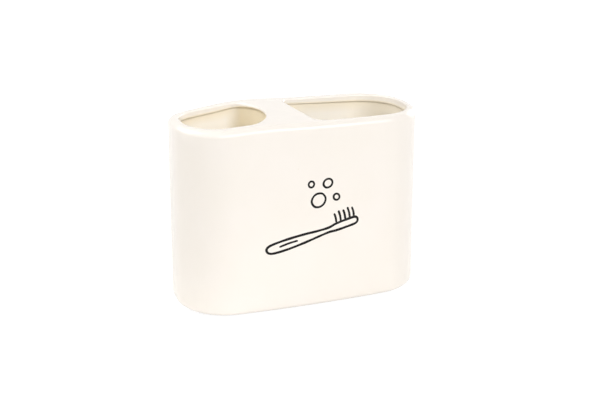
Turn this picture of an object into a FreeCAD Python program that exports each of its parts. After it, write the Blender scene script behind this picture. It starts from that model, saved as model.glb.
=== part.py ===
"""Ceramic toothbrush holder: a cast shell, a pierced top deck, a curved divider wall and four soft foot pads.

Millimetres. The origin is on the table under the middle of the base, +X runs along the long side towards the
large well, the front faces -Y and +Z is up.
"""

import FreeCAD, Part
import math
import os

# Overall sizes, at the base where the body is largest
height = 97.0
base_length = 130.4
base_width = 63.0
wall_lean = 1.15  # how far each side leans in between the base and the rim

# Plan of the body: shallow arcs along the sides and across the ends, with tangent corner arcs between them
side_radius = 620.0
end_radius = 80.0
end_flat = 9.4  # width of the shallow arc across each end
base_edge_radius = 2.4
rim_edge_radius = 3.6

# Thickness of the castings
wall = 4.2
floor = 5.0
floor_corner_radius = 3.0
deck = 3.2
deck_rise = 10.0  # height of the deck casting, from its seam with the shell up to the rim
deck_corner_radius = 1.5

# The two mouths in the deck and the bridge between them
rim_width = 6.6  # along the sides
end_rim_width = 5.3
lip_radius = 1.3
lip_under_radius = 0.8
mouth_corner_radius = 8.0
large_mouth_edge = 1.6  # X of the straight edge of the large mouth
small_mouth_edge = -16.0  # X of the furthest point of the small mouth's curved edge
small_mouth_radius = 35.0

# The divider under the bridge
divider = 5.0
luting_gap = 0.3  # clearance between the divider and the walls, filled with slip when the parts are joined

# Underside
foot_ring = 7.0
foot_recess = 1.0
foot_recess_radius = 0.6
pad_diameter = 11.0
pad_thickness = 1.8
pad_edge_radius = 0.5
pad_inset_x = 18.0  # from the inner edge of the foot ring to a pad's centre
pad_inset_y = 10.0

# Heights that follow from the sizes above
foot_z = pad_thickness - foot_recess
floor_top_z = pad_thickness + floor
seam_z = height - deck_rise
deck_under_z = height - deck

up = FreeCAD.Vector(0, 0, 1)
overrun = 1.0  # how far a cutting solid passes the face that it cuts through
same = 1e-4  # positions closer than this count as equal
fillet_share = 0.45  # the most of a ledge that the rounding at either side of it may take
rim_edge_share = 0.7  # the most of the rim's width that its outer rounding may take
lip_share = 0.27  # the most of the rim's width that its inner rounding may take


def lean_at(z):
    """How far the outer face stands inside the base outline at height z."""
    return wall_lean * (z - foot_z) / (height - foot_z)


def arc(x, y, z, radius, start, end):
    """Arc edge about (x, y) at height z between two directions in radians."""
    circle = Part.Circle(FreeCAD.Vector(x, y, z), up, radius)
    return Part.ArcOfCircle(circle, start, end).toShape()


def plan(side_inset, end_inset, z):
    """Closed outline at height z, set in from the base outline along its sides and across its ends."""
    side_y = base_width / 2 - side_radius
    end_x = base_length / 2 - end_radius
    end_turn = math.asin(end_flat / 2 / end_radius)
    # The corner arc touches the end arc where end_flat stops, and its radius lets it touch the side arc too
    reach = end_x * math.cos(end_turn) - side_y * math.sin(end_turn)
    side = side_radius - side_inset
    end = end_radius - end_inset
    spread = side - end
    centre = (end_x**2 + side_y**2 - spread**2) / (2 * (spread - reach))
    corner = end - centre
    cx = end_x + centre * math.cos(end_turn)
    cy = centre * math.sin(end_turn)
    side_turn = math.atan2(cy - side_y, cx)
    half = math.pi
    turn = 2 * math.pi
    edges = [
        arc(end_x, 0, z, end, -end_turn, end_turn),
        arc(cx, cy, z, corner, end_turn, side_turn),
        arc(0, side_y, z, side, side_turn, half - side_turn),
        arc(-cx, cy, z, corner, half - side_turn, half - end_turn),
        arc(-end_x, 0, z, end, half - end_turn, half + end_turn),
        arc(-cx, -cy, z, corner, half + end_turn, half + side_turn),
        arc(0, -side_y, z, side, half + side_turn, turn - side_turn),
        arc(cx, -cy, z, corner, turn - side_turn, turn - end_turn),
    ]
    return Part.Wire(edges)


def leaning_block(inset, low, high):
    """Solid block that leans in with the outer face and stays a constant distance inside it."""
    insets = [(lean_at(z) + inset, z) for z in (low, high)]
    return Part.makeLoft([plan(total, total, z) for total, z in insets], True, True)


def upright_block(side_inset, end_inset, low, high):
    """Straight-sided block on the body's plan, set in from the base outline."""
    return Part.Face(plan(side_inset, end_inset, low)).extrude(up * (high - low))


def edges_at(shape, z):
    """Edges of a shape that lie wholly at height z."""
    boxes = [(edge, edge.BoundBox) for edge in shape.Edges]
    return [edge for edge, box in boxes if abs(box.ZMin - z) < same and abs(box.ZMax - z) < same]


def edges_on(shape, z, cutter):
    """Edges at height z that a cutter left behind."""
    found = []
    for edge in edges_at(shape, z):
        middle = edge.valueAt((edge.FirstParameter + edge.LastParameter) / 2)
        if cutter.distToShape(Part.Vertex(middle))[0] < same:
            found.append(edge)
    return found


def corner_edges(block):
    """Upright edges of a block where two of its sides meet at an angle."""
    found = []
    for edge in block.Edges:
        if edge.BoundBox.ZLength < same or edge.BoundBox.DiagonalLength > edge.BoundBox.ZLength + same:
            continue
        faces = block.ancestorsOfType(edge, Part.Face)
        first, second = [face.normalAt(*face.Surface.parameter(edge.CenterOfMass)) for face in faces]
        if first.getAngle(second) > math.radians(10):
            found.append(edge)
    return found


def mouth_cylinder(radius, low, high):
    """Upright cylinder about the axis of the small mouth's curved edge."""
    base = FreeCAD.Vector(small_mouth_edge - small_mouth_radius, 0, low)
    return Part.makeCylinder(radius, high - low, base, up)


def mouth_block(low, high):
    """Block inside the rim, from which both mouths are cut."""
    lean = lean_at(height)
    return upright_block(lean + rim_width, lean + end_rim_width, low, high)


def small_mouth():
    """Cutter for the small mouth: the left end of the rim's inner outline, closed by the curved edge."""
    low, high = seam_z, height + overrun
    block = mouth_block(low, high)
    block = block.common(mouth_cylinder(small_mouth_radius, low, high))
    return block.makeFillet(mouth_corner_radius, corner_edges(block))


def large_mouth():
    """Cutter for the large mouth: the right end of the rim's inner outline, closed by a straight edge."""
    low, high = seam_z, height + overrun
    block = mouth_block(low, high)
    corner = FreeCAD.Vector(large_mouth_edge, -base_width, low)
    block = block.common(Part.makeBox(base_length, 2 * base_width, high - low, corner))
    return block.makeFillet(mouth_corner_radius, corner_edges(block))


def body_shell():
    """Drain-cast shell: walls and floor, with a foot ring round a shallow recess underneath."""
    shell = leaning_block(0, foot_z, seam_z)
    shell = shell.makeFillet(base_edge_radius, edges_at(shell, foot_z))
    cavity = leaning_block(wall, floor_top_z, seam_z + overrun)
    cavity = cavity.makeFillet(floor_corner_radius, edges_at(cavity, floor_top_z))
    recess = upright_block(foot_ring, foot_ring, foot_z - overrun, pad_thickness)
    recess = recess.makeFillet(foot_recess_radius, edges_at(recess, pad_thickness))
    return shell.cut(cavity).cut(recess)


def top_deck():
    """Deck casting: a short skirt on the shell, the rounded rim, both mouths and the bridge."""
    rim = min(rim_width, end_rim_width)
    ledge = fillet_share * (rim - wall)
    block = leaning_block(0, seam_z, height)
    block = block.makeFillet(min(rim_edge_radius, rim_edge_share * rim), edges_at(block, height))
    hollow = leaning_block(wall, seam_z - overrun, deck_under_z)
    hollow = hollow.makeFillet(min(deck_corner_radius, ledge), edges_at(hollow, deck_under_z))
    block = block.cut(hollow)
    for mouth in (small_mouth(), large_mouth()):
        block = block.cut(mouth)
        block = block.makeFillet(min(lip_radius, lip_share * rim), edges_on(block, height, mouth))
        block = block.makeFillet(min(lip_under_radius, ledge), edges_on(block, deck_under_z, mouth))
    return block


def divider_wall():
    """Curved wall from floor to deck, its hollow side in line with the small mouth's curved edge."""
    block = leaning_block(wall + luting_gap, floor_top_z, deck_under_z)
    ring = mouth_cylinder(small_mouth_radius + divider, floor_top_z, deck_under_z)
    ring = ring.cut(mouth_cylinder(small_mouth_radius, floor_top_z, deck_under_z))
    return block.common(ring)


def foot_pad(x, y):
    """Soft self-adhesive disc, stuck to the recess and standing proud of the foot ring."""
    pad = Part.makeCylinder(pad_diameter / 2, pad_thickness, FreeCAD.Vector(x, y, 0), up)
    return pad.makeFillet(pad_edge_radius, edges_at(pad, 0))


def main():
    nodes = {"body_shell": body_shell(), "top_deck": top_deck(), "divider_wall": divider_wall()}
    pad_x = base_length / 2 - foot_ring - pad_inset_x
    pad_y = base_width / 2 - foot_ring - pad_inset_y
    for end, along in (("left", -1), ("right", 1)):
        for face, across in (("front", -1), ("back", 1)):
            nodes[f"foot_pad_{face}_{end}"] = foot_pad(along * pad_x, across * pad_y)
    os.makedirs("parts", exist_ok=True)
    for name, shape in nodes.items():
        shape.exportStep(f"parts/{name}.step")
        print(f"{name}: {len(shape.Solids)} solid, {shape.Volume / 1000:.2f} cm3, valid {shape.isValid()}")


main()
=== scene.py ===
"""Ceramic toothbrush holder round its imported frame: glazed body, fired motif, silicone pads and studio."""

import math
import bmesh
import bpy
from mathutils import Matrix, Vector, noise
from mathutils.bvhtree import BVHTree
from mathutils.geometry import delaunay_2d_cdt


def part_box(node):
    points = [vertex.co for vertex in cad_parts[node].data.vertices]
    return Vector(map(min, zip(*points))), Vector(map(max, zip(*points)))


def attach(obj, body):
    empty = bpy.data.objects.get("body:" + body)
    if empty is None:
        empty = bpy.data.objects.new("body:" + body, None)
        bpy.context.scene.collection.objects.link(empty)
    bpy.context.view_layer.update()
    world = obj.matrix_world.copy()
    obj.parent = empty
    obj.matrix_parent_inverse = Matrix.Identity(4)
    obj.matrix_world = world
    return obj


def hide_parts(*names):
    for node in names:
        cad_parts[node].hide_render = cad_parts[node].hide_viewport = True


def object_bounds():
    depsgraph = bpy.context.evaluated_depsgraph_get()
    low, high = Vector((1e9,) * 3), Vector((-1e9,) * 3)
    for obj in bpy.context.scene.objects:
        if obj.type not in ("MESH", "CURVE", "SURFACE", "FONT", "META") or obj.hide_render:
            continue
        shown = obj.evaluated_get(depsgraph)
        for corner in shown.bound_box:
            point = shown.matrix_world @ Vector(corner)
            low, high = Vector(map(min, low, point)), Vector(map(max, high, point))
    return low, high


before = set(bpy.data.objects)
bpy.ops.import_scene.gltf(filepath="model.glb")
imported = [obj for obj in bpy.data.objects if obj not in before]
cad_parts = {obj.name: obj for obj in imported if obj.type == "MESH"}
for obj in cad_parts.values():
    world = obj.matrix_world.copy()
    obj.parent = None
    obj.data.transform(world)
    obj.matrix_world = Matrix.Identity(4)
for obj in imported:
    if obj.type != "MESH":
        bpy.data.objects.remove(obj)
cad_low, cad_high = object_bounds()

# The body is white earthenware: a slip-cast shell, a pierced deck and a curved divider, luted while damp.
# It is fired, dipped in ivory glaze and fired again, so one skin of glaze covers all three and hides their
# seams. The foot ring is wiped clean before the glaze firing and stays bare.
mm = 0.001
body_length = (cad_high.x - cad_low.x) / mm
body_width = (cad_high.y - cad_low.y) / mm
body_height = cad_high.z / mm
wall_lean = 1.15
side_radius = 620.0
end_radius = 80.0
end_flat = 9.4
base_edge_radius = 2.4
rim_edge_radius = 3.6

# Rims round the mouths, and the walls under their lips, which even out to one thickness at the floor
small_rim_back, small_rim_front, small_rim_end = 7.0, 7.6, 5.7
large_rim_back, large_rim_front, large_rim_end = 7.0, 5.2, 5.0
small_wall_back, small_wall_front, small_wall_end = 6.0, 6.0, 4.7
large_wall_back, large_wall_front, large_wall_end = 6.0, 4.4, 4.5
floor_wall = 4.2
small_corner_back, small_corner_front = 7.0, 8.0
large_corner_back, large_corner_front = 6.0, 7.0
large_edge = 1.6  # from the middle of the body
large_edge_skew = math.radians(4)  # it runs away from the small mouth towards the front
straight = 2e4  # radius that makes an edge straight to within two hundredths of a millimetre

# A lip is thinnest at the bridge and gains thickness over a reach that starts away from the body's middle
small_lip, small_lip_gain, small_lip_start, small_lip_reach = 1.6, 1.8, 18.0, 20.0
large_lip, large_lip_gain, large_lip_start, large_lip_reach = 2.9, 1.0, 8.0, 52.0
lip_radius = 1.0
lip_under_radius = 0.55
deck_corner_radius = 1.5
deck_under_slope = 0.2

# The divider's axis lies to the left of the middle, and its face stands back from the lip of the small mouth
divider_x, divider_y, divider_radius = 45.0, 1.5, 29.0
divider = 5.0
divider_setback = 0.7
well_cove_radius = 9.0
floor_corner_radius = 3.0
floor_top = 6.8

# Underside
pad_thickness = 1.8
foot_recess = 1.0
foot_ring = 7.0
foot_recess_radius = 0.6
foot_ring_radius = 0.3
foot = pad_thickness - foot_recess

# Fineness of the mesh
ring_step = 4.0  # between rings on plain walls
end_steps, corner_steps, side_steps = 6, 26, 46
edge_steps, cove_steps, well_side_steps = 14, 12, 16
bridge_spacing = 2.4
bridge_rows, bridge_left, bridge_right = 9, 14, 5  # reach of the bridge's loose points, in spacings
quarter = [math.radians(turn) for turn in range(0, 91, 15)]  # turns along a rounded edge

side_y = body_width / 2 - side_radius
end_x = body_length / 2 - end_radius
end_turn = math.asin(end_flat / 2 / end_radius)


def lean_at(z):
    """How far the outer face stands inside the base outline at height z."""
    return wall_lean * (z - foot) / (body_height - foot)


def arc(x, y, radius, start, end, steps, facing=1):
    """Stations along an arc, its end point left out.

    A station is a place, the direction out of the outline there and its share of the lean.
    """
    stations = []
    for step in range(steps):
        turn = start + (end - start) * step / steps
        way = Vector((math.cos(turn), math.sin(turn)))
        stations.append((Vector((x, y)) + radius * way, facing * way, 1.0))
    return stations


def corner(side_inset, end_inset):
    """Centre and radius of the corner arc at given insets, and the turn at which it meets the side."""
    reach = end_x * math.cos(end_turn) - side_y * math.sin(end_turn)
    spread = side_radius - side_inset - end_radius + end_inset
    shift = (end_x**2 + side_y**2 - spread**2) / (2 * (spread - reach))
    x, y = end_x + shift * math.cos(end_turn), shift * math.sin(end_turn)
    return x, y, end_radius - end_inset - shift, math.atan2(y - side_y, x)


def outline():
    """Stations round the base outline of the body."""
    x, y, radius, side_turn = corner(0, 0)
    half = arc(end_x, 0, end_radius, -end_turn, end_turn, end_steps)
    half += arc(x, y, radius, end_turn, side_turn, corner_steps)
    half += arc(0, side_y, side_radius, side_turn, math.pi - side_turn, side_steps)
    half += arc(-x, y, radius, math.pi - side_turn, math.pi - end_turn, corner_steps)
    return half + [(-place, -way, share) for place, way, share in half]


def half_well(side_inset, end_inset, edge_x, edge_y, edge_radius, facing, skew, cove):
    """Stations of a right well's back half, from the middle of its edge to the middle of its end.

    The edge is the one at the bridge, and the cove joins it to the side.
    facing is 1 where the well lies inside the edge's circle, and -1 where it lies outside.
    """
    side = side_radius - side_inset
    side_centre = Vector((0, side_y))
    # The cove's centre is where circles about the side's and the edge's centres cross
    to_edge = Vector((edge_x, edge_y)) - side_centre
    gap = to_edge.length
    near = side - cove
    far = edge_radius - facing * cove
    along = (near**2 - far**2 + gap**2) / (2 * gap)
    across = math.sqrt(near**2 - along**2)
    turned = Vector((-to_edge.y, to_edge.x))
    hub = side_centre + (along * to_edge + facing * across * turned) / gap
    edge_turn = math.atan2(hub.y - edge_y, hub.x - edge_x) % (2 * math.pi)
    side_start = math.atan2(hub.y - side_y, hub.x)
    opposite = math.pi if facing > 0 else 0.0
    x, y, radius, side_turn = corner(side_inset, end_inset)
    edge = arc(edge_x, edge_y, edge_radius, opposite + skew, edge_turn, edge_steps, facing)
    coving = arc(hub.x, hub.y, cove, edge_turn + math.pi - opposite, side_start, cove_steps)
    half = [(place, way, 0.0) for place, way, share in edge]
    half += [(place, way, step / cove_steps) for step, (place, way, share) in enumerate(coving)]
    half += arc(0, side_y, side, side_start, side_turn, well_side_steps)
    half += arc(x, y, radius, side_turn, end_turn, corner_steps)
    return half + arc(end_x, 0, end_radius - end_inset, end_turn, 0, end_steps // 2)


def well_outline(hand, insets, edge, coves):
    """Stations round a well with its own insets and coves at the back and front.

    hand is 1 for the right well and -1 for the left one, which is worked out on the right and mirrored.
    """
    back_inset, front_inset, end_inset = insets
    edge_x, edge_y, edge_radius, facing, skew = edge
    back = half_well(back_inset, end_inset, edge_x, edge_y, edge_radius, facing, skew, coves[0])
    front = half_well(front_inset, end_inset, edge_x, -edge_y, edge_radius, facing, -skew, coves[1])
    tip = (Vector((body_length / 2 - end_inset, 0)), Vector((1, 0)), 1.0)
    flip = Vector((1, -1))
    whole = back + [tip] + [(place * flip, way * flip, share) for place, way, share in front[:0:-1]]
    mirror = Vector((hand, 1))
    return [(place * mirror, way * mirror, share) for place, way, share in whole]


body = bmesh.new()

# Painted light and shade in the wells, partly glaze that gathers: 1 on the divider, painted darker and
# creamier where glaze gathers and shade falls; the walls, at a lower level, are painted lighter than the
# outside glaze;
# the undersides of the lips get a set share of that painted shade, and a well's walls can darken towards its
# end
pool_and_shade_layer = body.verts.layers.float.new("pool_and_shade_level")
wall_light_level, lip_shade_level = 0.5, 0.75
# Painted shade that a well's walls gain towards its end, over the reach below
small_end_shade, large_end_shade = 0.0, 0.2  # what a wall gains towards its end
end_start, end_reach = 36.0, 18.0  # where that gain starts, from the middle of the body, and its length


def ring(stations, grow, z):
    """Ring of vertices at height z, moved out from the stations by grow."""
    return [body.verts.new((*(place + way * grow), z)) for place, way, share in stations]


def skin(rings):
    """Faces between neighbouring rings."""
    for lower, upper in zip(rings, rings[1:]):
        for k in range(len(lower)):
            body.faces.new((lower[k - 1], lower[k], upper[k], upper[k - 1]))


def levels(start, end):
    """Heights between two ends of a plain wall, both left out."""
    count = max(1, round(abs(end - start) / ring_step))
    return [start + (end - start) * k / count for k in range(1, count)]


def outside():
    """The underside, foot ring, wall and rim, up to the flat of the deck; the last ring is returned."""
    base = outline()
    profile = []
    for turn in quarter:
        inset = foot_ring + foot_recess_radius * (1 - math.sin(turn))
        profile.append((inset, pad_thickness - foot_recess_radius * (1 - math.cos(turn))))
    for turn in quarter:
        inset = foot_ring - foot_ring_radius * (1 - math.cos(turn))
        profile.append((inset, foot + foot_ring_radius * (1 - math.sin(turn))))
    for turn in quarter:
        inset = base_edge_radius * (1 - math.sin(turn))
        profile.append((inset, foot + base_edge_radius * (1 - math.cos(turn))))
    rim_start = body_height - rim_edge_radius
    profile += [(0, z) for z in levels(foot + base_edge_radius, rim_start)]
    for turn in quarter:
        inset = rim_edge_radius * (1 - math.cos(turn))
        profile.append((inset, rim_start + rim_edge_radius * math.sin(turn)))
    rings = [ring(base, -inset - lean_at(z), z) for inset, z in profile]
    skin(rings)
    body.faces.new(rings[0])
    return rings[-1]


def well(mouth, hollow, base, lip, gain, start, reach, end_darkening):
    """A well from the flat of the deck over its lip, under the deck and down to the floor.

    Mouth, hollow and base are its outlines at the lip, under the lip and at the floor.
    The first ring is returned.
    """
    gained = [min(1.0, max(0.0, (abs(place.x) - start) / reach)) for place, way, share in mouth]
    lips = [lip + gain * part * (2 - part) for part in gained]
    rings = []
    for turn in quarter:
        fall = lip_radius * (1 - math.cos(turn))
        rings.append(ring(mouth, lip_radius * (1 - math.sin(turn)), body_height - fall))
    ways = [there[0] - here[0] for here, there in zip(mouth, hollow)]
    room = lip_under_radius + deck_corner_radius
    shares = [min(1, way.length / room) for way in ways]
    for turn in quarter:
        rise = lip_under_radius * (1 - math.sin(turn))
        out = lip_under_radius * (1 - math.cos(turn))
        places = [here[0] + way.normalized() * out * part for here, way, part in zip(mouth, ways, shares)]
        heights = [body_height - thick + rise for thick in lips]
        rings.append([body.verts.new((*place, z)) for place, z in zip(places, heights)])
    for turn in quarter:
        fall = deck_under_slope + deck_corner_radius * (1 - math.cos(turn))
        back = deck_corner_radius * (1 - math.sin(turn))
        places = [there[0] - way.normalized() * back * part for there, way, part in zip(hollow, ways, shares)]
        heights = [body_height - thick - fall for thick in lips]
        rings.append([body.verts.new((*place, z)) for place, z in zip(places, heights)])

    def wall_ring(inset, z):
        """Ring on the wall, which leans with the outer face and nears the base outline on its way down."""
        out = lean_at(body_height) - lean_at(z)
        down = (body_height - z) / body_height
        verts = []
        for (place, way, share), low in zip(hollow, base):
            between = place.lerp(low[0], down)
            verts.append(body.verts.new((*(between + way * (out * share - inset)), z)))
        return verts

    wall_foot = floor_top + floor_corner_radius
    wall_head = body_height - max(lips) - deck_under_slope - deck_corner_radius
    rings += [wall_ring(0, z) for z in levels(wall_head, wall_foot)]
    for turn in quarter:
        inset = floor_corner_radius * (1 - math.cos(turn))
        rings.append(wall_ring(inset, wall_foot - floor_corner_radius * math.sin(turn)))
    skin(rings)
    body.faces.new(rings[-1])
    lip_rings = 2 * len(quarter)
    # Painted light and shade for each vertex: lighter on the walls, darker and creamier on the divider and
    # under the lips
    for number, row in enumerate(rings[len(quarter) :]):
        for vert, (place, way, share) in zip(row, hollow):
            towards_end = min(1.0, max(0.0, (abs(place.x) - end_start) / end_reach))
            painted_level = 1 - (1 - wall_light_level - end_darkening * towards_end) * share
            vert[pool_and_shade_layer] = max(painted_level, lip_shade_level) if number < lip_rings else painted_level
    return rings[0]


def deck_top(rim, mouths):
    """The flat of the deck, between the rim and the lips of both mouths."""
    loops = [rim, *mouths]
    verts = [vert for loop in loops for vert in loop]
    edges = []
    start = 0
    for loop in loops:
        edges += [(start + k, start + (k + 1) % len(loop)) for k in range(len(loop))]
        start += len(loop)
    # Loose points on the bridge keep its faces small enough to follow the sag of the rim
    margin = lip_radius + bridge_spacing / 2
    for row in range(-bridge_rows, bridge_rows + 1):
        for column in range(-bridge_left, bridge_right + 1):
            x, y = column * bridge_spacing, row * bridge_spacing
            off_divider = math.hypot(x + divider_x, y - divider_y) - divider_radius
            off_large_edge = large_edge - y * math.tan(large_edge_skew) - x
            if off_divider > margin and off_large_edge > margin:
                verts.append(body.verts.new((x, y, body_height)))
    flat = [vert.co.xy for vert in verts]
    inside_rim, same_place = 1, 1e-6
    made = delaunay_2d_cdt(flat, edges, [], inside_rim, same_place)
    triangles, origins = made[2], made[3]
    loop_of = [number for number, loop in enumerate(loops) for vert in loop]
    for triangle in triangles:
        chosen = [origins[k][0] for k in triangle]
        owners = {loop_of[k] if k < len(loop_of) else None for k in chosen}
        # A triangle whose corners all lie on one mouth would cover that mouth
        if owners not in ({1}, {2}):
            body.faces.new([verts[k] for k in chosen])


skew_x, skew_y = straight * math.cos(large_edge_skew), straight * math.sin(large_edge_skew)
bridge_edge = (large_edge + skew_x, skew_y, straight, 1, large_edge_skew)
divider_hollow = (divider_x, divider_y, divider_radius, 1, 0.0)
divider_face = (divider_x, divider_y, divider_radius + divider_setback, 1, 0.0)
divider_back = (-divider_x, divider_y, divider_radius + divider, -1, 0.0)
small_rims = [wall_lean + rim for rim in (small_rim_back, small_rim_front, small_rim_end)]
large_rims = [wall_lean + rim for rim in (large_rim_back, large_rim_front, large_rim_end)]
small_walls = [wall_lean + wall for wall in (small_wall_back, small_wall_front, small_wall_end)]
large_walls = [wall_lean + wall for wall in (large_wall_back, large_wall_front, large_wall_end)]
floor_walls = [wall_lean + floor_wall] * 3
coves = [well_cove_radius] * 2
small_mouth = well_outline(-1, small_rims, divider_hollow, [small_corner_back, small_corner_front])
small_well = well_outline(-1, small_walls, divider_face, coves)
small_base = well_outline(-1, floor_walls, divider_face, coves)
large_mouth = well_outline(1, large_rims, bridge_edge, [large_corner_back, large_corner_front])
large_well = well_outline(1, large_walls, divider_back, coves)
large_base = well_outline(1, floor_walls, divider_back, coves)
small_lips = (small_lip, small_lip_gain, small_lip_start, small_lip_reach)
large_lips = (large_lip, large_lip_gain, large_lip_start, large_lip_reach)
rim_ring = outside()
small_ring = well(small_mouth, small_well, small_base, *small_lips, small_end_shade)
large_ring = well(large_mouth, large_well, large_base, *large_lips, large_end_shade)
deck_top(rim_ring, [small_ring, large_ring])
bmesh.ops.recalc_face_normals(body, faces=body.faces)

# In the kiln the rim settles either side of the bridge, which holds it up, most at the back of the left end
settle = 1.0
crest_x, crest_reach = -17.0, 17.0
crest_back, crest_front = 1.0, 0.25
dip_x, dip_reach = -49.0, 14.0
dip_back, dip_front = 1.65, 0.9
sag_foot = 40.0
wave_size, wave_depth = 31.0, 0.16


def sag(x, y):
    """How far the rim stands below its nominal height, as a negative number."""
    back = 0.5 + y / body_width
    crest = crest_front + (crest_back - crest_front) * back
    dip = dip_front + (dip_back - dip_front) * back
    crest *= math.exp(-(((x - crest_x) / crest_reach) ** 2))
    dip *= math.exp(-(((x - dip_x) / dip_reach) ** 2))
    return min(0.0, crest - dip - settle)


body.normal_update()
for vert in body.verts:
    lifted = max(0.0, (vert.co.z - sag_foot) / (body_height - sag_foot))
    wave = noise.noise(vert.co / wave_size) - 1
    if vert.co.z > foot + base_edge_radius:
        vert.co += vert.normal * wave_depth * wave / 2
    vert.co.z += sag(vert.co.x, vert.co.y) * lifted**2 * (3 - 2 * lifted)
for face in body.faces:
    face.smooth = True
    face.material_index = int(face.calc_center_median().z < foot + foot_ring_radius / 2)
body.transform(Matrix.Scale(mm, 4))
body_surface = BVHTree.FromBMesh(body)
body_mesh = bpy.data.meshes.new("glazed_body")
body.to_mesh(body_mesh)
body.free()
glazed_body = bpy.data.objects.new("glazed_body", body_mesh)
bpy.context.scene.collection.objects.link(glazed_body)


def srgb(code):
    """Linear colour from an sRGB hex code."""
    parts = [int(code[k : k + 2], 16) / 255 for k in (1, 3, 5)]
    linear = [part / 12.92 if part <= 0.04045 else ((part + 0.055) / 1.055) ** 2.4 for part in parts]
    return (*linear, 1.0)


def add_node(material, kind, settings=None, inputs=None):
    """Add a node to a material or world, with its own settings and with values or sockets on its inputs."""
    made = material.node_tree.nodes.new(kind)
    for name, value in (settings or {}).items():
        setattr(made, name, value)
    for name, value in (inputs or {}).items():
        if isinstance(value, bpy.types.NodeSocket):
            material.node_tree.links.new(value, made.inputs[name])
        else:
            made.inputs[name].default_value = value
    return made


# Ivory tin glaze, dipped and fired glossy, pale and even outside. In the wells, painted light lifts the
# walls, and the divider and the lips' undersides are darker and creamier: partly glaze that gathers, partly
# painted shade.
# Its faint ripple softens the reflections, and it holds a few fine iron specks.
glaze_thin, glaze_thick, glaze_speck = srgb("#F9F2EA"), srgb("#F8F1E8"), srgb("#D9C9A8")
# Painted light for the well walls; painted shade, with glaze that gathers, for the divider and lip undersides
glaze_painted_light, glaze_pooled_and_shaded = srgb("#FEF9F0"), srgb("#F8EACC")
cloud_size, cloud_low, cloud_high = 26 * mm, 0.35, 0.65
ripple_size, ripple_height, ripple_low, ripple_high = 9 * mm, 0.12 * mm, 0.3, 0.7
peel_size, peel_height = 1.8 * mm, 0.012 * mm
speck_spacing = 8 * mm
specked_from, speck_radius = 0.82, 0.022  # which cells hold a speck, and its largest share of a cell
smoothest, roughest = 0.17, 0.24
glaze_ior = 1.5
mix_from, mix_to, mix_result = 6, 7, 2  # a Mix node's sockets for colours
glaze = bpy.data.materials.new("ivory_tin_glaze")
glaze.use_nodes = True
glaze_at = add_node(glaze, "ShaderNodeTexCoord").outputs["Object"]
clouds = add_node(
    glaze, "ShaderNodeTexNoise", None, {"Vector": glaze_at, "Scale": 1 / cloud_size, "Detail": 2.0}
)
thickness = add_node(
    glaze,
    "ShaderNodeMapRange",
    None,
    {"Value": clouds.outputs["Fac"], "From Min": cloud_low, "From Max": cloud_high},
)
# Level of painted light and shade in the wells, carried on the mesh
pool_and_shade_level = add_node(glaze, "ShaderNodeAttribute", {"attribute_name": "pool_and_shade_level"}).outputs["Fac"]
# Painted light on the well walls first, then painted shade with gathering glaze on the divider and lips
inside = add_node(
    glaze, "ShaderNodeMapRange", None, {"Value": pool_and_shade_level, "From Min": 0.0, "From Max": wall_light_level}
)
pooled_and_shaded = add_node(
    glaze, "ShaderNodeMapRange", None, {"Value": pool_and_shade_level, "From Min": wall_light_level, "From Max": 1.0}
)
cells = add_node(glaze, "ShaderNodeTexVoronoi", None, {"Vector": glaze_at, "Scale": 1 / speck_spacing})
cell_draw = add_node(glaze, "ShaderNodeSeparateColor", None, {"Color": cells.outputs["Color"]})
speck_reach = add_node(
    glaze,
    "ShaderNodeMapRange",
    None,
    {"Value": cell_draw.outputs["Red"], "From Min": specked_from, "To Min": 0.0, "To Max": speck_radius},
)
speck = add_node(
    glaze,
    "ShaderNodeMath",
    {"operation": "LESS_THAN"},
    {0: cells.outputs["Distance"], 1: speck_reach.outputs["Result"]},
)
glaze_colour = glaze_thin
for cover, colour in (
    (thickness, glaze_thick), (inside, glaze_painted_light), (pooled_and_shaded, glaze_pooled_and_shaded), (speck, glaze_speck)
):
    layered = add_node(
        glaze,
        "ShaderNodeMix",
        {"data_type": "RGBA"},
        {"Factor": cover.outputs[0], mix_from: glaze_colour, mix_to: colour},
    )
    glaze_colour = layered.outputs[mix_result]
ripple = add_node(
    glaze, "ShaderNodeTexNoise", None, {"Vector": glaze_at, "Scale": 1 / ripple_size, "Detail": 1.0}
)
peel = add_node(
    glaze, "ShaderNodeTexNoise", None, {"Vector": glaze_at, "Scale": 1 / peel_size, "Detail": 1.0}
)
rippled = add_node(
    glaze,
    "ShaderNodeBump",
    None,
    {"Height": ripple.outputs["Fac"], "Distance": ripple_height, "Strength": 0.5},
)
peeled = add_node(
    glaze,
    "ShaderNodeBump",
    None,
    {
        "Height": peel.outputs["Fac"],
        "Distance": peel_height,
        "Strength": 0.5,
        "Normal": rippled.outputs["Normal"],
    },
)
gloss = add_node(
    glaze,
    "ShaderNodeMapRange",
    None,
    {
        "Value": ripple.outputs["Fac"],
        "From Min": ripple_low,
        "From Max": ripple_high,
        "To Min": smoothest,
        "To Max": roughest,
    },
)
glaze_surface = glaze.node_tree.nodes["Principled BSDF"]
glaze.node_tree.links.new(glaze_colour, glaze_surface.inputs["Base Color"])
glaze.node_tree.links.new(gloss.outputs["Result"], glaze_surface.inputs["Roughness"])
glaze.node_tree.links.new(peeled.outputs["Normal"], glaze_surface.inputs["Normal"])
glaze_surface.inputs["IOR"].default_value = glaze_ior

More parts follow.
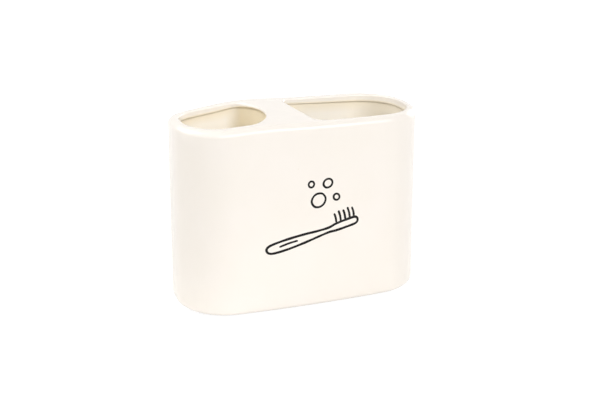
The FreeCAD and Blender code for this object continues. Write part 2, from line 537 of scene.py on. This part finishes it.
# Bisque earthenware, wiped bare and fired matt: chalky off-white with a fine open grain.
bisque_pale, bisque_dark = srgb("#EFE7D8"), srgb("#DCCFB8")
grain_size, grain_height = 0.7 * mm, 0.05 * mm
bisque_roughness = 0.85
bisque = bpy.data.materials.new("bare_bisque")
bisque.use_nodes = True
bisque_at = add_node(bisque, "ShaderNodeTexCoord").outputs["Object"]
grain = add_node(
    bisque, "ShaderNodeTexNoise", None, {"Vector": bisque_at, "Scale": 1 / grain_size, "Detail": 4.0}
)
bisque_colour = add_node(
    bisque,
    "ShaderNodeMix",
    {"data_type": "RGBA"},
    {"Factor": grain.outputs["Fac"], mix_from: bisque_dark, mix_to: bisque_pale},
)
grained = add_node(
    bisque,
    "ShaderNodeBump",
    None,
    {"Height": grain.outputs["Fac"], "Distance": grain_height, "Strength": 0.7},
)
bisque_surface = bisque.node_tree.nodes["Principled BSDF"]
bisque.node_tree.links.new(bisque_colour.outputs[mix_result], bisque_surface.inputs["Base Color"])
bisque.node_tree.links.new(grained.outputs["Normal"], bisque_surface.inputs["Normal"])
bisque_surface.inputs["Roughness"].default_value = bisque_roughness

body_mesh.materials.append(glaze)
body_mesh.materials.append(bisque)
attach(glazed_body, "root")
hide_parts("body_shell", "top_deck", "divider_wall")

# The motif on the front is a ceramic transfer: black line work laid on the glaze and fired into its surface.
# It shows a toothbrush and a few bubbles, drawn by hand with a round nib.
nib = 1.45
grip_nib, bristle_nib, bubble_nib = 0.8 * nib, 0.9 * nib, 0.85 * nib
nib_swell, swell_size = 0.16, 4.0  # share by which a line's width wanders, and the length over which it does
blunt_tip = 0.2  # width of a line's free end, as a share of the line's own
ink_height = 0.05
ink_sunk = 0.03
shoulder, shoulder_height = 0.8, 0.6 * ink_height
motif_x, motif_z, motif_tilt = -1.0, 39.0, math.radians(13)
brush_outline = [
    (-24.6, 0.2), (-22.8, 2.2), (-15.0, 2.7), (-5.0, 2.3), (3.0, 1.5), (9.0, 1.2), (13.0, 1.9),
    (19.0, 2.1), (23.6, 1.9), (24.8, 0.2), (23.4, -1.5), (18.0, -1.7), (12.5, -1.6), (8.5, -1.2),
    (2.0, -1.6), (-6.0, -2.2), (-15.5, -2.5), (-22.6, -1.9),
]
grip_line = [(-18.0, 0.1), (-13.0, 0.4), (-8.0, 0.2)]
bristle_foot, bristle_bow, bristle_lean = 2.4, 0.2, -0.1
bristle_tops = [(13.4, 7.6), (15.9, 8.3), (18.4, 7.9), (20.9, 8.4), (23.2, 7.7)]
bubbles = [(7.0, 17.0, 3.6), (13.6, 24.0, 2.3), (5.2, 26.2, 1.5), (16.4, 15.6, 1.6)]
bubble_wobble = 0.05


def flow(points, closed):
    """Smooth hand-drawn line through the points, about two steps to a millimetre."""
    count = len(points)
    spans = count if closed else count - 1
    line = []
    for k in range(spans):
        around = [k - 1, k, k + 1, k + 2]
        picked = [j % count if closed else min(max(j, 0), count - 1) for j in around]
        a, b, c, d = [Vector(points[j]) for j in picked]
        steps = max(2, round((c - b).length * 2))
        for step in range(steps):
            t = step / steps
            bend = 2 * a - 5 * b + 4 * c - d
            turn = 3 * b - a - 3 * c + d
            line.append(0.5 * (2 * b + (c - a) * t + bend * t**2 + turn * t**3))
    return line if closed else line + [Vector(points[-1])]


motif = bmesh.new()


def on_front(place, lift):
    """Vertex on the body's front face, lifted off the glaze, at a place in the tilted motif."""
    turned = place @ Matrix.Rotation(-motif_tilt, 2)
    start = Vector((motif_x + turned.x, -body_width, motif_z + turned.y)) * mm
    hit, facing, face, distance = body_surface.ray_cast(start, Vector((0, 1, 0)))
    return motif.verts.new(hit + facing * lift * mm)


def stroke(line, closed, width):
    """Raised line of ink, crowned across its width and rounded at free ends."""
    count = len(line)
    section = [(-1, -ink_sunk), (-shoulder, shoulder_height), (0, ink_height)]
    section += [(shoulder, shoulder_height), (1, -ink_sunk)]
    rows = []
    for k, place in enumerate(line):
        after = line[(k + 1) % count] if closed else line[min(k + 1, count - 1)]
        before = line[k - 1] if closed else line[max(k - 1, 0)]
        along = (after - before).normalized()
        side = Vector((-along.y, along.x))
        half = width / 2 * (1 + nib_swell * noise.noise(Vector((*place, width)) / swell_size))
        if not closed:
            from_end = min(k, count - 1 - k) * (line[1] - line[0]).length
            half *= math.sqrt(max(blunt_tip**2, 1 - max(0.0, 1 - from_end / half) ** 2))
        rows.append([on_front(place + side * half * across, lift) for across, lift in section])
    pairs = zip(rows, rows[1:] + rows[:1]) if closed else zip(rows, rows[1:])
    for here, there in pairs:
        for k in range(len(here)):
            motif.faces.new((here[k - 1], here[k], there[k], there[k - 1]))
    if not closed:
        motif.faces.new(rows[0])
        motif.faces.new(rows[-1])


stroke(flow(brush_outline, True), True, nib)
stroke(flow(grip_line, False), False, grip_nib)
for x, top in bristle_tops:
    bristle = [(x, bristle_foot), (x + bristle_bow, (top + bristle_foot) / 2), (x + bristle_lean, top)]
    stroke(flow(bristle, False), False, bristle_nib)
for x, z, radius in bubbles:
    turns = [math.radians(turn) for turn in range(0, 360, 45)]
    wobble = [radius * (1 + bubble_wobble * math.sin(2 * turn + x)) for turn in turns]
    rounded = [(x + out * math.cos(turn), z + out * math.sin(turn)) for turn, out in zip(turns, wobble)]
    stroke(flow(rounded, True), True, bubble_nib)
bmesh.ops.recalc_face_normals(motif, faces=motif.faces)
for face in motif.faces:
    face.smooth = True
motif_mesh = bpy.data.meshes.new("front_motif")
motif.to_mesh(motif_mesh)
motif.free()
front_motif = bpy.data.objects.new("front_motif", motif_mesh)
bpy.context.scene.collection.objects.link(front_motif)

# Black ceramic colour, screen printed as a transfer and fired on: dense soft black, thinner in places.
ink_dense, ink_thin = srgb("#0B0A0A"), srgb("#181716")
ink_cloud = 2.5 * mm
ink_roughness, ink_ior = 0.4, 1.3
ink = bpy.data.materials.new("black_ceramic_transfer")
ink.use_nodes = True
ink_at = add_node(ink, "ShaderNodeTexCoord").outputs["Object"]
ink_body = add_node(
    ink, "ShaderNodeTexNoise", None, {"Vector": ink_at, "Scale": 1 / ink_cloud, "Detail": 3.0}
)
ink_colour = add_node(
    ink,
    "ShaderNodeMix",
    {"data_type": "RGBA"},
    {"Factor": ink_body.outputs["Fac"], mix_from: ink_dense, mix_to: ink_thin},
)
ink_surface = ink.node_tree.nodes["Principled BSDF"]
ink.node_tree.links.new(ink_colour.outputs[mix_result], ink_surface.inputs["Base Color"])
ink_surface.inputs["Roughness"].default_value = ink_roughness
ink_surface.inputs["IOR"].default_value = ink_ior
motif_mesh.materials.append(ink)
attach(front_motif, "root")

# Four self-adhesive pads keep the bare foot ring off the shelf: discs of clear silicone, moulded with a soft
# edge and a shallow dish underneath, stuck into the recess of the base.
pad_edge_radius = 0.5
dish_radius = 2.6
dish_depth = 0.25
dish_profile = [(1.0, 1 / 3), (0.7, 0.85), (0.35, 1.0)]  # shares of the radius and of the depth
pad_sides = 48

# Moulded silicone: cloudy and slightly see-through, with a satin skin.
silicone_pale, silicone_dark = srgb("#DCDBD6"), srgb("#C9C8C2")
haze_size = 1.5 * mm
silicone_roughness, silicone_ior, silicone_clear = 0.45, 1.41, 0.25
silicone = bpy.data.materials.new("moulded_silicone")
silicone.use_nodes = True
silicone_at = add_node(silicone, "ShaderNodeTexCoord").outputs["Object"]
haze = add_node(
    silicone, "ShaderNodeTexNoise", None, {"Vector": silicone_at, "Scale": 1 / haze_size, "Detail": 2.0}
)
silicone_colour = add_node(
    silicone,
    "ShaderNodeMix",
    {"data_type": "RGBA"},
    {"Factor": haze.outputs["Fac"], mix_from: silicone_dark, mix_to: silicone_pale},
)
silicone_surface = silicone.node_tree.nodes["Principled BSDF"]
silicone.node_tree.links.new(silicone_colour.outputs[mix_result], silicone_surface.inputs["Base Color"])
silicone_surface.inputs["Roughness"].default_value = silicone_roughness
silicone_surface.inputs["IOR"].default_value = silicone_ior
silicone_surface.inputs["Transmission Weight"].default_value = silicone_clear


def foot_pad(node):
    """Pad turned from its profile about the middle of the node that it stands for."""
    low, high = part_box(node)
    middle = (low + high) / 2
    radius = (high.x - low.x) / 2 / mm
    top = high.z / mm
    profile = [(radius - pad_edge_radius, top), (radius, top - pad_edge_radius / 2)]
    for turn in quarter:
        out = radius - pad_edge_radius * (1 - math.cos(turn))
        profile.append((out, pad_edge_radius * (1 - math.sin(turn))))
    profile.append((dish_radius + pad_edge_radius, 0.0))
    profile += [(dish_radius * across, dish_depth * up) for across, up in dish_profile]
    pad = bmesh.new()
    turns = [2 * math.pi * side / pad_sides for side in range(pad_sides)]
    rows = []
    for out, z in profile:
        rows.append([pad.verts.new((out * math.cos(turn), out * math.sin(turn), z)) for turn in turns])
    for lower, upper in zip(rows, rows[1:]):
        for k in range(pad_sides):
            pad.faces.new((lower[k - 1], lower[k], upper[k], upper[k - 1]))
    pad.faces.new(rows[0])
    pad.faces.new(rows[-1])
    bmesh.ops.recalc_face_normals(pad, faces=pad.faces)
    for face in pad.faces:
        face.smooth = len(face.verts) == 4
    pad.transform(Matrix.Translation((middle.x, middle.y, 0)) @ Matrix.Scale(mm, 4))
    mesh = bpy.data.meshes.new(f"silicone_{node}")
    pad.to_mesh(mesh)
    pad.free()
    mesh.materials.append(silicone)
    piece = bpy.data.objects.new(f"silicone_{node}", mesh)
    bpy.context.scene.collection.objects.link(piece)
    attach(piece, "root")
    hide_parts(node)


for pad_node in sorted(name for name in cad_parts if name.startswith("foot_pad")):
    foot_pad(pad_node)

# The studio is a paper floor that runs into a white surround, with a whiter card under the object.
# A wide soft lamp stands in front, a small warm one low at the left, one behind at the left and one low
# behind at the right, and the surround adds a little light from all sides.
floor_size = 6.0
card_reach, card_end = 0.1, 0.2  # from the object's middle to where the card starts to fade, and to its end
card_white, floor_white = 0.85, 0.58  # share of the light that each throws back
shadow_reach, white_reach = 0.12, 0.5  # from the middle of the object to full shadow and to plain white
shadow_glow, shadow_paper = 0.86, 0.25
white = srgb("#FFFFFF")


def shown(material):
    """Socket that is 1 for rays that show a surface in the picture, also mirrored or through glass."""
    rays = add_node(material, "ShaderNodeLightPath")
    found = rays.outputs["Is Camera Ray"]
    for kind in ("Is Glossy Ray", "Is Transmission Ray"):
        either = add_node(
            material, "ShaderNodeMath", {"operation": "MAXIMUM"}, {0: found, 1: rays.outputs[kind]}
        )
        found = either.outputs["Value"]
    return found


# Matt white paper, rolled smooth: plain white to the eye, with the soft shadow of what stands on it.
paper = bpy.data.materials.new("white_paper_sweep")
paper.use_nodes = True
paper.node_tree.nodes.remove(paper.node_tree.nodes["Principled BSDF"])
paper_shown = shown(paper)
paper_at = add_node(paper, "ShaderNodeTexCoord").outputs["Object"]
paper_reach = add_node(paper, "ShaderNodeVectorMath", {"operation": "LENGTH"}, {0: paper_at}).outputs["Value"]
card = add_node(
    paper,
    "ShaderNodeMapRange",
    None,
    {
        "Value": paper_reach,
        "From Min": card_reach,
        "From Max": card_end,
        "To Min": card_white,
        "To Max": floor_white,
    },
)
plain_paper = add_node(paper, "ShaderNodeBsdfDiffuse", None, {"Color": card.outputs["Result"]})
lit_paper = add_node(paper, "ShaderNodeBsdfDiffuse", None, {"Color": (*[shadow_paper] * 3, 1.0)})
paper_level = add_node(
    paper,
    "ShaderNodeMapRange",
    None,
    {"Value": paper_reach, "From Min": shadow_reach, "From Max": white_reach, "To Min": shadow_glow},
)
paper_glow = add_node(
    paper, "ShaderNodeEmission", None, {"Color": white, "Strength": paper_level.outputs["Result"]}
)
white_paper = add_node(
    paper, "ShaderNodeAddShader", None, {0: lit_paper.outputs[0], 1: paper_glow.outputs[0]}
)
paper_mix = add_node(
    paper, "ShaderNodeMixShader", None, {0: paper_shown, 1: plain_paper.outputs[0], 2: white_paper.outputs[0]}
)
paper.node_tree.links.new(paper_mix.outputs[0], paper.node_tree.nodes["Material Output"].inputs["Surface"])
floor_mesh = bpy.data.meshes.new("floor")
half_floor = floor_size / 2
floor_corners = [(x * half_floor, y * half_floor, 0) for x, y in ((-1, -1), (1, -1), (1, 1), (-1, 1))]
floor_mesh.from_pydata(floor_corners, [], [(0, 1, 2, 3)])
floor_mesh.materials.append(paper)
floor = bpy.data.objects.new("floor", floor_mesh)
bpy.context.scene.collection.objects.link(floor)

surround_light = 0.08
surround = bpy.data.worlds.new("white_surround")
bpy.context.scene.world = surround
surround.use_nodes = True
surround_level = add_node(
    surround, "ShaderNodeMapRange", None, {"Value": shown(surround), "To Min": surround_light, "To Max": 1.0}
)
background = surround.node_tree.nodes["Background"]
background.inputs["Color"].default_value = white
surround.node_tree.links.new(surround_level.outputs["Result"], background.inputs["Strength"])


def direction(azimuth, elevation):
    """Direction from the object to where a lamp or a viewer stands: azimuth 0 is in front."""
    turn, rise = math.radians(azimuth), math.radians(elevation)
    return Vector((math.sin(turn) * math.cos(rise), -math.cos(turn) * math.cos(rise), math.sin(rise)))


def lamp(name, azimuth, elevation, distance, size, watts, colour):
    """Soft lamp of a given width and height that faces the object."""
    way = direction(azimuth, elevation)
    light = bpy.data.lights.new(name, "AREA")
    light.shape = "RECTANGLE"
    light.size, light.size_y = size
    light.energy = watts
    light.color = srgb(colour)[:3]
    holder = bpy.data.objects.new(name, light)
    holder.location = Vector((0, 0, body_height / 2 * mm)) + way * distance
    holder.rotation_euler = way.to_track_quat("Z", "Y").to_euler()
    bpy.context.scene.collection.objects.link(holder)


lamp("key_lamp", azimuth=6, elevation=33, distance=2.4, size=(2.6, 1.4), watts=54.0, colour="#FFFFFF")
lamp("side_lamp", azimuth=-95, elevation=3, distance=1.0, size=(0.3, 0.3), watts=0.45, colour="#FFFADC")
lamp("back_lamp", azimuth=-118, elevation=41, distance=1.2, size=(0.8, 0.8), watts=10.3, colour="#FFFFFF")
lamp("rear_lamp", azimuth=118, elevation=15, distance=1.2, size=(0.6, 0.6), watts=7.5, colour="#FFFFFF")

# The camera stands to the left of the front and looks a little down on the rim, as for a product photograph.
# It is a plain lens on a film 36 mm wide, shifted by the few pixels that the framing needs.
image_width = 600
focal_pixels = 930.0
film_width = 36.0
nearest = 0.01
camera_azimuth, camera_elevation = -19.42, 18.99
camera_distance = 486.5
aim_height = 48.4
left_of_centre, above_centre = 5.9, 1.6  # pixels between the picture's middle and the object's
camera_way = direction(camera_azimuth, camera_elevation)
camera_data = bpy.data.cameras.new("camera")
camera_data.sensor_width = film_width
camera_data.lens = focal_pixels / image_width * film_width
camera_data.shift_x = left_of_centre / image_width
camera_data.shift_y = -above_centre / image_width
camera_data.clip_start = nearest
camera = bpy.data.objects.new("camera", camera_data)
camera.location = Vector((0, 0, aim_height * mm)) + camera_way * camera_distance * mm
camera.rotation_euler = camera_way.to_track_quat("Z", "Y").to_euler()
bpy.context.scene.collection.objects.link(camera)
bpy.context.scene.camera = camera
bpy.context.scene.view_settings.view_transform = "Standard"
